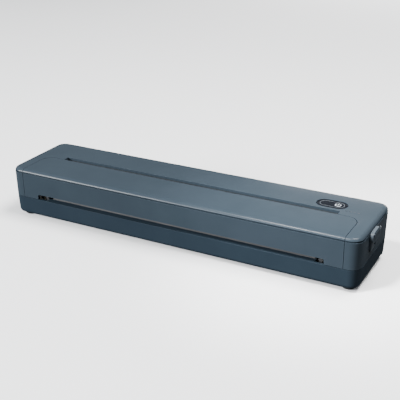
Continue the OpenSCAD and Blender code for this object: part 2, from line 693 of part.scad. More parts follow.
module usb_socket() color(steel) placed() difference() {
    translate([port_x, port_y, port_z]) rotate([90, 0, 0]) linear_extrude(height = port_l) pill(port_w, port_h);
    difference() {
        translate([port_x, port_y + 1, port_z]) rotate([90, 0, 0]) linear_extrude(height = port_l)
            pill(port_w - 0.7, port_h - 0.7);
        block(port_x - 3.2, port_x + 3.2, port_y - port_l - 1, port_y - 1.2, port_z - 0.35, port_z + 0.35);
    }
}
switch_h = 2.6;
plunger_r = 1.5;
plunger_z = board_top + 0.5 + button_travel;
plunger_top = board_top + switch_h + 0.7;
module power_switch() color(black) placed() difference() {
    block(button_x - 3, button_x + 3, button_y - 3, button_y + 3, board_top, board_top + switch_h);
    translate([button_x, button_y, board_top + 0.4]) cylinder(r = plunger_r + run_gap, h = switch_h);
}
module switch_plunger() color("ivory") placed()
    translate([button_x, button_y, plunger_z]) cylinder(r = plunger_r, h = plunger_top - plunger_z);
button_top = body_h - 0.1;
flange_z = roof_z - 1.4;
module power_button() color(black) placed() translate([button_x, button_y, 0]) {
    translate([0, 0, flange_z + 1]) linear_extrude(height = button_top - flange_z - 1) pill(button_l, button_w);
    translate([0, 0, flange_z]) linear_extrude(height = 1) pill(button_l + 2 * flange_w, button_w + 2 * flange_w);
    translate([0, 0, plunger_top]) cylinder(r = 2, h = flange_z - plunger_top);
}
module cover_switch() color(black) placed() {
    block(plate_out, plate_out + 8.3, hinge_y + 4, hinge_y + 12, upper_z + 0.2, upper_z + 4.7);
    translate([plate_out + 6.6, hinge_y + 4, upper_z + 3]) rotate([90, 0, 0]) cylinder(r = 0.8, h = 1.2);
}
module indicator_windows() color("lightgray") placed() for (x = lamp_xs)
    translate([x, lamp_y, roof_z - 3]) linear_extrude(height = body_h - roof_z + 3) pill(lamp_l, lamp_w);
module hinge_pins() color(steel) placed() both_ends()
    rod_x(hinge_pin_x1 - hinge_pin_l, hinge_pin_x1, hinge_y, hinge_z, hinge_pin_r);

// Cover
tab_x0 = plate_out + 5.6;
rib_front_y = front_y + 1.5;
rib_back_y = platen_y + 5.3;
rib_z0 = keeper_z - 1.6;
module bracket_rib() difference() {
    polygon([[rib_front_y, rib_z0], [platen_y - 5, rib_z0], [platen_y - 2, nip_z + 0.7],
        [rib_back_y, nip_z + 0.7], [rib_back_y, cable_z - 0.5], [cable_y0 - 0.4, cable_z - 0.5],
        [cable_y0 - 0.4, cable_z + 0.9],
        [rib_back_y, cable_z + 0.9], [rib_back_y, roof_z + 0.5], [rib_front_y, roof_z + 0.5]]);
    translate([keeper_y, keeper_z]) circle(r = keeper_r + touch);
    for (z = [end_pin_z - 0.1, end_pin_z + head_travel + 0.1]) translate([end_pin_y, z]) circle(r = pin_slot_r);
    translate([end_pin_y - pin_slot_r, end_pin_z - 0.1]) square([2 * pin_slot_r, head_travel + 0.2]);
}
module outer_rib() difference() {
    polygon([[rib_front_y, rib_z0], [platen_y - 5.9, rib_z0], [platen_y - 5.9, roof_z + 0.5],
        [rib_front_y, roof_z + 0.5]]);
    translate([keeper_y, keeper_z]) circle(r = keeper_r + touch);
}
outlet_r = 1.5;
outlet_cut = seam_z + outlet_h - upper_z + 1;
module top_cover() color(slate) placed() difference() {
    union() {
        difference() {
            intersection() {
                swept(upper_z, body_h) outer_slice(upper_z, body_h);
                translate([0, 0, upper_z]) linear_extrude(height = body_h) cover_plan(-seam_gap / 2);
            }
            intersection() {
                swept(upper_z - 1, roof_z) inner_edge(upper_z - 1, roof_z);
                block(-cover_inner_x, cover_inner_x, -body_d, body_d, 0, body_h);
            }
        }
        along_x(-inlet_w / 2, inlet_w / 2) translate([hinge_y, hinge_z]) {
            intersection() {
                difference() {
                    circle(r = hinge_reach);
                    circle(r = hinge_reach - 1.6);
                }
                translate([0, -through]) square([through, through + roof_z - hinge_z + 0.5]);
            }
            translate([-1.6, -hinge_reach]) square([1.7, 1.6]);
        }
        both_ends() {
            rod_x(hinge_pin_x1 - hinge_pin_l + 0.2, cover_inner_x + 0.5, hinge_y, hinge_z, hinge_boss_r);
            along_x(rib_x0, rib_x0 + rib_w) bracket_rib();
            along_x(outer_rib_x0, outer_rib_x0 + 1.4) outer_rib();
        }
        block(tab_x0, tab_x0 + 2, hinge_y - 1, hinge_y + 2.4, upper_z + 1.5, roof_z + 0.5);
        for (x = spring_xs) translate([x, spring_y, 0]) {
            translate([0, 0, spring_boss_z]) cylinder(r = 3.4, h = roof_z - spring_boss_z + 0.5);
            translate([0, 0, spring_boss_z - 4]) cylinder(r = 1.6, h = 5);
        }
    }
    // Behind the hinge only what lies inside the swept radius stays
    difference() {
        block(-body_l, body_l, hinge_y, body_d, 0, body_h - 3.6);
        rod_x(-body_l, body_l, hinge_y, hinge_z, hinge_reach);
        block(tab_x0 - 0.01, tab_x0 + 2.01, hinge_y - 1, hinge_y + 2.41, 0, body_h);
    }
    translate([0, 0, upper_z - 1]) rotate([90, 0, 0]) linear_extrude(height = body_d) {
        translate([-outlet_w / 2, 0]) square([outlet_w, outlet_cut - outlet_r]);
        translate([outlet_r - outlet_w / 2, 0]) square([outlet_w - 2 * outlet_r, outlet_cut]);
        for (s = [-1, 1])
            translate([s * (outlet_w / 2 - outlet_r), outlet_cut - outlet_r]) circle(r = outlet_r);
    }
    both_ends() rod_x(hinge_pin_x1 - hinge_pin_l - 1, wall_x, hinge_y, hinge_z, hinge_pin_r + run_gap);
}
module keeper_pins() color(steel) placed() both_ends()
    rod_x(rib_x0 + 0.1, outer_rib_x0 + 1.3, keeper_y, keeper_z, keeper_r);
module head_springs() color(steel) placed() for (x = spring_xs)
    translate([x, spring_y, sink_top + touch]) difference() {
        cylinder(r = head_spring_r, h = spring_boss_z - sink_top - 2 * touch);
        translate([0, 0, -1]) cylinder(r = head_spring_r - 2 * head_wire_r, h = through);
    }
module heat_sink() color("silver") placed() {
    difference() {
        block(-head_l / 2, head_l / 2, sink_y0, sink_y1, sink_z, sink_top);
        for (y = [sink_y0 + 3.2, sink_y1 - 2.4]) block(-head_l, head_l, y, y + 1, sink_top - 1.2, sink_top + 1);
    }
    both_ends() rod_x(head_l / 2 - 0.5, rib_x0 + rib_w + 0.2, end_pin_y, end_pin_z, end_pin_r);
}
module print_head() color("beige") placed()
    block(-head_l / 2 + 0.5, head_l / 2 - 0.5, sink_y0 + 1, sink_y1 - 0.8, nip_z, sink_z);
board_patch_x = socket_x0 - 8;
driver_y1 = spring_y - head_spring_r - 0.3;
driver_top = sink_top + 0.8;
module driver_board() color(green_board) placed() {
    block(socket_x0 - 72.5, socket_x1 + 1, sink_y0 + 0.5, driver_y1, sink_top, driver_top);
    block(board_patch_x, socket_x1 + 1, driver_y1, sink_y1 - 0.3, sink_top, driver_top);
}
module head_socket() color(white_plastic) placed()
    block(socket_x0, socket_x1, cable_y0 - 0.3, cable_y1 + 0.1, driver_top, cable_z + 0.6);
hinge_at = [hinge_y, hinge_z];
cable_path = [[cable_y1, cable_z], hinge_at + [-2, -11.4], hinge_at + [0, -12.7], hinge_at + [3.4, -12.2],
    hinge_at + [6.8, -10.8], hinge_at + [9.8, -8.3], hinge_at + [11.8, -5.4], hinge_at + [14, -3.8],
    hinge_at + [17, -3], [board_y0 + 3.3, hinge_z - 3]];
module head_cable() color("white") placed() {
    block(socket_x1, cable_x0 + cable_w, cable_y0, cable_y1, cable_z, cable_z + cable_t);
    along_x(cable_x0, cable_x0 + cable_w) polygon(concat(cable_path,
        [for (i = [len(cable_path) - 1:-1:0]) cable_path[i] + [0, cable_t]]));
}

// Release
rib_h = 0.6;
rib_step = (grip_l - 5) / (grip_ribs - 1);
module release_slider() color(slate) placed() {
    block(slider_x0, slider_x1, slider_y0, slider_y1, slider_z0, slider_z1);
    rod_x(arm_x0 - 0.1, slider_x0 + 0.1, slider_pin_y, slider_pin_z, slider_pin_r);
    block(slider_x1 - 0.1, end_x + 1, stem_y0, stem_y1, slider_z0 + 2, slider_z1);
    grip_x0 = end_x + clear_gap;
    grip_x1 = end_x + grip_proud;
    block(end_x + 0.1, end_x + 1, stem_y0, stem_y1, slider_z1 - 0.1, grip_z);
    along_x(grip_x0, grip_x1 - rib_h) translate([grip_y, grip_z]) pill(grip_l, grip_h);
    intersection() {
        along_x(grip_x0, grip_x1) translate([grip_y, grip_z]) pill(grip_l - 1.6, grip_h - 1.6);
        for (i = [0:grip_ribs - 1]) translate([grip_x0, grip_y + (i - (grip_ribs - 1) / 2) * rib_step, grip_z])
            translate([0, -0.5, -grip_h]) cube([grip_proud, 1, 2 * grip_h]);
    }
}
module release_spring() color(steel) placed()
    translate([spring_x, slider_y1, slider_pin_z]) rotate([-90, 0, 0]) difference() {
        cylinder(r = release_spring_r, h = spring_end_y - slider_y1);
        translate([0, 0, -1]) cylinder(r = release_spring_r - 0.5, h = through);
    }
module latch_shaft() color(steel) placed() rod_x(-plate_out - 0.6, arm_x1, latch_y, latch_z, latch_r);
hook_y = latch_y - 1.7;
neck_z = latch_z + 4.6;
nose_z = keeper_z + keeper_r + 0.3;
module latch_hooks() color(steel) placed() both_ends() along_x(hook_x, hook_x + hook_w) difference() {
    union() {
        polygon([[latch_y - 1.7, latch_z], [hook_y - 1, neck_z], [hook_y - 1, nose_z], [hook_y - 1.8, nose_z],
            [hook_y - 1.8, nose_z + 0.7], [hook_y - 0.4, nose_z + 2.3], [hook_y + 1.1, nose_z + 1.3],
            [hook_y + 1.1, neck_z], [latch_y + 1.7, latch_z]]);
        translate([latch_y, latch_z]) circle(r = latch_hub_r);
    }
    translate([latch_y, latch_z]) circle(r = latch_r + touch);
}
module release_arm() color(steel) placed() along_x(arm_x0, arm_x1) translate([latch_y, latch_z]) difference() {
    union() {
        circle(r = latch_hub_r);
        rotate(arm_angle) translate([0, -1.4]) square([arm_l - 4, 2.8]);
        rotate(arm_angle) translate([arm_l - 8, -2.2]) square([8, 4.4]);
    }
    circle(r = latch_r + touch);
    rotate(arm_angle) {
        translate([arm_l - 5.8, 0]) circle(r = slider_pin_r + 0.25);
        translate([arm_l - 5.8, -slider_pin_r - 0.25]) square([through, 2 * slider_pin_r + 0.5]);
    }
}

lower_shell();
upper_housing();
rubber_feet();
case_screws();
side_plate_left();
side_plate_right();
plate_screws();
platen_bearings();
paper_guide();
paper_sensor();
drive_motor();
motor_screws();
gear_pins();
battery_tray();
battery_cells();
battery_contacts();
main_board();
board_screws();
board_chips();
board_socket();
usb_socket();
power_switch();
cover_switch();
indicator_windows();
hinge_pins();
release_spring();
top_cover();
keeper_pins();
head_springs();
heat_sink();
print_head();
driver_board();
head_socket();
head_cable();
platen_shaft();
platen_rubber();
platen_gear();
idler_gear();
reduction_gear();
motor_shaft();
motor_pinion();
release_slider();
latch_shaft();
latch_hooks();
release_arm();
power_button();
switch_plunger();
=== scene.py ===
"""Looks of the A4 portable thermal printer: finishes, fine pieces, light and camera."""
import json
import math

import bmesh
import bpy
from mathutils import Matrix, Vector


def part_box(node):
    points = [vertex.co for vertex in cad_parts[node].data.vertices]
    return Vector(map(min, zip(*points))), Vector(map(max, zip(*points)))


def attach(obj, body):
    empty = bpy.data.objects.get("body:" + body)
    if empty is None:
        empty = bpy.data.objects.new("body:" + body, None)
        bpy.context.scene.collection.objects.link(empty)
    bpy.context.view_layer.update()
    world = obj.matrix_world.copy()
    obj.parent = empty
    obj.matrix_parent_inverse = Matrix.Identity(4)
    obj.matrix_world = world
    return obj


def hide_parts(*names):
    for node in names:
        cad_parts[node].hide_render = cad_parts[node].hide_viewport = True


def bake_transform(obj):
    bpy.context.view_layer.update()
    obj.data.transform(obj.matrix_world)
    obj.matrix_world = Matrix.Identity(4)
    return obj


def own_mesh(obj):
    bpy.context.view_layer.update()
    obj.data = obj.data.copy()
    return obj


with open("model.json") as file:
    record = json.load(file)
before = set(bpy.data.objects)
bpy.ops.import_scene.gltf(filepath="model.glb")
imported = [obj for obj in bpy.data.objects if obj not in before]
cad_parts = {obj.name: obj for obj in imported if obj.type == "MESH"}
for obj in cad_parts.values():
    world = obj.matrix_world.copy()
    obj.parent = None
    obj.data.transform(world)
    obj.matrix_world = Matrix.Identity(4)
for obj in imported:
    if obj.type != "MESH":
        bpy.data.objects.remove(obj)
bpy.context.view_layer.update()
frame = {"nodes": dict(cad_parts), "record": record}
nodes = frame["nodes"]
record = frame["record"]
body_of_node = {n: b for b, names in record["behaviour"]["bodies"].items() for n in names}
slot_of_node = {s["node"]: s["material_slot"] for s in record["subparts"]}
MM = 0.001
# X of the case's middle, in millimetres, which the grip on the right end puts off the origin
CASE_MIDDLE = -1.5


def at(x, y, z):
    """A point in millimetres from the case's middle, as metres in the frame."""
    return Vector(((x + CASE_MIDDLE) * MM, y * MM, z * MM))


# Camera, lights and floor

# Place in millimetres from the case's middle, angles in degrees, lens and sensor in millimetres
CAMERA_PLACE = (272.05, -493.98, 273.56)
CAMERA_AZIMUTH = 28.15
CAMERA_ELEVATION = 23.59
CAMERA_ROLL = -0.36
CAMERA_LENS = 75.16
CAMERA_SENSOR = 36

WORLD_COLOR = (0.95, 0.97, 1, 1)
WORLD_STRENGTH = 0.48

# Half the floor's side, in metres
FLOOR_HALF = 6
FLOOR_COLOR = (0.9, 0.9, 0.9)
# Share of light that the floor throws back on the part
FLOOR_BOUNCE = 0.08


def camera_turn():
    """Rotation of a camera that looks down along its azimuth and elevation, with a small roll."""
    azimuth, elevation, roll = (math.radians(a) for a in (CAMERA_AZIMUTH, CAMERA_ELEVATION, CAMERA_ROLL))
    back = Vector((math.sin(azimuth) * math.cos(elevation),
                   -math.cos(azimuth) * math.cos(elevation), math.sin(elevation)))
    level = (-back).cross(Vector((0, 0, 1))).normalized()
    upright = level.cross(-back)
    right = level * math.cos(roll) + upright * math.sin(roll)
    up = upright * math.cos(roll) - level * math.sin(roll)
    return Matrix((right, up, back)).transposed().to_4x4()


def place_camera():
    data = bpy.data.cameras.new("camera")
    data.lens = CAMERA_LENS
    data.sensor_width = CAMERA_SENSOR
    camera = bpy.data.objects.new("camera", data)
    bpy.context.collection.objects.link(camera)
    camera.matrix_world = Matrix.Translation(at(*CAMERA_PLACE)) @ camera_turn()
    bpy.context.scene.camera = camera


def aimed_light(name, kind, place, target, power, color=(1, 1, 1)):
    """A light at place that points at target, both in metres."""
    data = bpy.data.lights.new(name, kind)
    data.energy = power
    data.color = color
    light = bpy.data.objects.new(name, data)
    bpy.context.collection.objects.link(light)
    light.location = place
    light.rotation_euler = (Vector(target) - Vector(place)).to_track_quat("-Z", "Y").to_euler()
    return data


def area_light(name, place, target, size, power, color=(1, 1, 1)):
    data = aimed_light(name, "AREA", place, target, power, color)
    data.shape = "RECTANGLE"
    data.size, data.size_y = size


def spot_light(name, place, target, power, cone, radius):
    data = aimed_light(name, "SPOT", place, target, power)
    data.spot_size = math.radians(cone)
    data.spot_blend = 1.0
    data.shadow_soft_size = radius


def light_world():
    world = bpy.data.worlds.new("studio")
    bpy.context.scene.world = world
    world.use_nodes = True
    background = world.node_tree.nodes["Background"]
    background.inputs["Color"].default_value = WORLD_COLOR
    background.inputs["Strength"].default_value = WORLD_STRENGTH


def lay_floor():
    """A pale floor that throws little light back on the walls, so that the right end stays dark."""
    mesh = bpy.data.meshes.new("floor")
    corners = [(x * FLOOR_HALF, y * FLOOR_HALF, 0) for x, y in ((-1, -1), (1, -1), (1, 1), (-1, 1))]
    mesh.from_pydata(corners, [], [(0, 1, 2, 3)])
    floor = bpy.data.objects.new("floor", mesh)
    bpy.context.collection.objects.link(floor)
    material = bpy.data.materials.new("studio_floor")
    material.use_nodes = True
    tree = material.node_tree
    shader = tree.nodes["Principled BSDF"]
    shader.inputs["Roughness"].default_value = 0.9
    shader.inputs["Specular IOR Level"].default_value = 0.1
    seen = node_in(tree, "ShaderNodeLightPath").outputs["Is Camera Ray"]
    tree.links.new(mix_color(tree, seen, (FLOOR_BOUNCE,) * 3, FLOOR_COLOR), shader.inputs["Base Color"])
    mesh.materials.append(material)


def set_studio():
    """Soft light from the front left and above, a weak one from behind, and a spot on the right end."""
    light_world()
    area_light("overhead", place=(0.30, 0.08, 0.90), target=(0.12, 0, 0.03), size=(0.5, 0.4), power=20)
    spot_light("right_end_spot", place=(-0.074, -0.269, 0.505), target=(0.105, -0.005, 0.04), power=32,
               cone=28, radius=0.04)
    area_light("key_front_left", place=(-1.55, -1.75, 0.90), target=(-0.04, 0, 0.02), size=(1.0, 0.8),
               power=205, color=(0.96, 0.98, 1))
    area_light("rear_fill", place=(0, 1.25, 0.28), target=(0, 0, 0.02), size=(0.9, 0.25), power=7)
    lay_floor()


# Shader groups that several finishes share

def new_group(name, inputs, outputs):
    """A shader group with named sockets, and its two end nodes."""
    group = bpy.data.node_groups.new(name, "ShaderNodeTree")
    for label, kind, value in inputs:
        socket = group.interface.new_socket(label, in_out="INPUT", socket_type=kind)
        socket.default_value = value
    for label, kind in outputs:
        group.interface.new_socket(label, in_out="OUTPUT", socket_type=kind)
    return group, group.nodes.new("NodeGroupInput"), group.nodes.new("NodeGroupOutput")


def node_in(tree, kind, **values):
    node = tree.nodes.new(kind)
    for key, value in values.items():
        setattr(node, key, value)
    return node


def feed(tree, socket, value):
    """Set a socket to a number or a colour, or link another socket to it."""
    if isinstance(value, (int, float)):
        socket.default_value = value
    elif isinstance(value, tuple):
        socket.default_value = (*value, 1)
    else:
        tree.links.new(value, socket)


def calc(tree, operation, a, b, clamp=False):
    node = node_in(tree, "ShaderNodeMath", operation=operation, use_clamp=clamp)
    feed(tree, node.inputs[0], a)
    feed(tree, node.inputs[1], b)
    return node.outputs[0]


def noise(tree, vector, scale, detail=2.0, roughness=0.5):
    node = node_in(tree, "ShaderNodeTexNoise")
    tree.links.new(vector, node.inputs["Vector"])
    node.inputs["Detail"].default_value = detail
    node.inputs["Roughness"].default_value = roughness
    feed(tree, node.inputs["Scale"], scale)
    return node.outputs["Fac"]


def object_place(tree):
    return node_in(tree, "ShaderNodeTexCoord").outputs["Object"]


def grain_group():
    """Fine spark texture of a moulded surface: a height, and a slow mottle for colour and gloss."""
    tree, given, result = new_group("moulded_grain",
                                    [("Grain Scale", "NodeSocketFloat", 1800.0)],
                                    [("Height", "NodeSocketFloat"), ("Mottle", "NodeSocketFloat")])
    place = object_place(tree)
    fine = noise(tree, place, given.outputs["Grain Scale"], detail=3.0, roughness=0.6)
    cells = node_in(tree, "ShaderNodeTexVoronoi")
    tree.links.new(place, cells.inputs["Vector"])
    tree.links.new(calc(tree, "MULTIPLY", given.outputs["Grain Scale"], 0.7), cells.inputs["Scale"])
    height = calc(tree, "ADD", calc(tree, "MULTIPLY", fine, 0.6),
                  calc(tree, "MULTIPLY", cells.outputs["Distance"], 0.4))
    mottle = noise(tree, place, scale=38.0, detail=4.0, roughness=0.55)
    tree.links.new(height, result.inputs["Height"])
    tree.links.new(mottle, result.inputs["Mottle"])
    return tree


def wear_and_highlight_group():
    """Mask of the edges that hands and tables rub, broken up so that it isn't even; the lighter colour
    it brings also serves as a painted edge highlight.
    """
    tree, given, result = new_group("edge_wear_and_highlight",
                                    [("Radius", "NodeSocketFloat", 0.0006),
                                     ("Amount", "NodeSocketFloat", 0.5)],
                                    [("Mask", "NodeSocketFloat")])
    rounded = node_in(tree, "ShaderNodeBevel", samples=4)
    tree.links.new(given.outputs["Radius"], rounded.inputs["Radius"])
    surface = node_in(tree, "ShaderNodeNewGeometry")
    facing = node_in(tree, "ShaderNodeVectorMath", operation="DOT_PRODUCT")
    tree.links.new(rounded.outputs["Normal"], facing.inputs[0])
    tree.links.new(surface.outputs["Normal"], facing.inputs[1])
    edge = calc(tree, "MULTIPLY", calc(tree, "SUBTRACT", 1.0, facing.outputs["Value"]), 5.0, clamp=True)
    uneven = noise(tree, object_place(tree), scale=120.0, detail=4.0, roughness=0.6)
    rubbed_and_lit = calc(tree, "MULTIPLY", edge, calc(tree, "ADD", uneven, 0.2, clamp=True))
    mask = calc(tree, "MULTIPLY", rubbed_and_lit, given.outputs["Amount"], clamp=True)
    tree.links.new(mask, result.inputs["Mask"])
    return tree


def line_group():
    """Fine lines along X, as drawing and grinding leave on metal."""
    tree, given, result = new_group("drawn_lines",
                                    [("Line Scale", "NodeSocketFloat", 3000.0)],
                                    [("Lines", "NodeSocketFloat")])
    stretch = node_in(tree, "ShaderNodeMapping", vector_type="POINT")
    stretch.inputs["Scale"].default_value = (0.03, 1.0, 1.0)
    tree.links.new(object_place(tree), stretch.inputs["Vector"])
    tree.links.new(noise(tree, stretch.outputs["Vector"], given.outputs["Line Scale"]),
                   result.inputs["Lines"])
    return tree


def painted_crevice_shade_group():
    """Mask of painted shade: the joints, grooves and corners that are closed in, where the colour is
    darkened to stand in for the shade that falls there.
    """
    tree, given, result = new_group("painted_crevice_shade",
                                    [("Reach", "NodeSocketFloat", 0.0015),
                                     ("Amount", "NodeSocketFloat", 0.8)],
                                    [("Mask", "NodeSocketFloat")])
    closed = node_in(tree, "ShaderNodeAmbientOcclusion", samples=8)
    tree.links.new(given.outputs["Reach"], closed.inputs["Distance"])
    shut = calc(tree, "SUBTRACT", 1.0, closed.outputs["AO"])
    deep = calc(tree, "MULTIPLY", calc(tree, "SUBTRACT", shut, 0.25), 2.2, clamp=True)
    mask = calc(tree, "MULTIPLY", deep, given.outputs["Amount"], clamp=True)
    tree.links.new(mask, result.inputs["Mask"])
    return tree


GRAIN = grain_group()
WEAR_AND_HIGHLIGHT = wear_and_highlight_group()
PAINTED_CREVICE_SHADE = painted_crevice_shade_group()
LINES = line_group()


# Finishes

# Depth of the surface relief at full strength, in metres
RELIEF_DEPTH = 0.00008


def mix_color(tree, mask, color_a, color_b):
    node = node_in(tree, "ShaderNodeMix", data_type="RGBA")
    tree.links.new(mask, node.inputs["Factor"])
    feed(tree, node.inputs[6], color_a)
    feed(tree, node.inputs[7], color_b)
    return node.outputs[2]


def spread(tree, value, low, high):
    """The middle band of a noise, stretched from low to high."""
    node = node_in(tree, "ShaderNodeMapRange")
    tree.links.new(value, node.inputs["Value"])
    for label, end in (("From Min", 0.3), ("From Max", 0.7), ("To Min", low), ("To Max", high)):
        node.inputs[label].default_value = end
    return node.outputs["Result"]


def finish_material(name, color, shade, rough, metallic=0.0, grain=1800.0, bump=0.15, worn_and_lit_color=None,
                    wear_and_highlight=0.0, wear_and_highlight_radius=0.0006, lines=False, coat=0.0, sheen=0.0,
                    coat_rough=0.03, specular=0.5, painted_shade_color=None):
    """One finish: color mottled with shade, gloss from rough[0] to rough[1], rubbed edges that also
    carry a painted edge highlight, and painted shade in crevices.
    """
    material = bpy.data.materials.new(name)
    material.use_nodes = True
    tree = material.node_tree
    shader = tree.nodes["Principled BSDF"]
    shader.inputs["Metallic"].default_value = metallic
    shader.inputs["Coat Weight"].default_value = coat
    shader.inputs["Coat Roughness"].default_value = coat_rough
    shader.inputs["Specular IOR Level"].default_value = specular
    shader.inputs["Sheen Weight"].default_value = sheen
    surface = node_in(tree, "ShaderNodeGroup", node_tree=GRAIN)
    surface.inputs["Grain Scale"].default_value = grain
    base = mix_color(tree, spread(tree, surface.outputs["Mottle"], 0.0, 1.0), color, shade)
    height = surface.outputs["Height"]
    if lines:
        drawn = node_in(tree, "ShaderNodeGroup", node_tree=LINES)
        height = drawn.outputs["Lines"]
        base = mix_color(tree, calc(tree, "MULTIPLY", height, 0.35), base, shade)
    if wear_and_highlight:
        # Lighter rubbed edges: partly real wear, partly a painted highlight along the edges
        rubbed_and_lit = node_in(tree, "ShaderNodeGroup", node_tree=WEAR_AND_HIGHLIGHT)
        rubbed_and_lit.inputs["Radius"].default_value = wear_and_highlight_radius
        rubbed_and_lit.inputs["Amount"].default_value = wear_and_highlight
        base = mix_color(tree, rubbed_and_lit.outputs["Mask"], base, worn_and_lit_color)
    # Painted shade: the colour goes to near black in joints, grooves and corners, where shade falls
    if painted_shade_color:
        closed = node_in(tree, "ShaderNodeGroup", node_tree=PAINTED_CREVICE_SHADE)
        base = mix_color(tree, closed.outputs["Mask"], base, painted_shade_color)
    tree.links.new(base, shader.inputs["Base Color"])
    tree.links.new(spread(tree, surface.outputs["Mottle"], *rough), shader.inputs["Roughness"])
    relief = node_in(tree, "ShaderNodeBump")
    relief.inputs["Strength"].default_value = bump
    relief.inputs["Distance"].default_value = RELIEF_DEPTH
    tree.links.new(height, relief.inputs["Height"])
    tree.links.new(relief.outputs["Normal"], shader.inputs["Normal"])
    return material


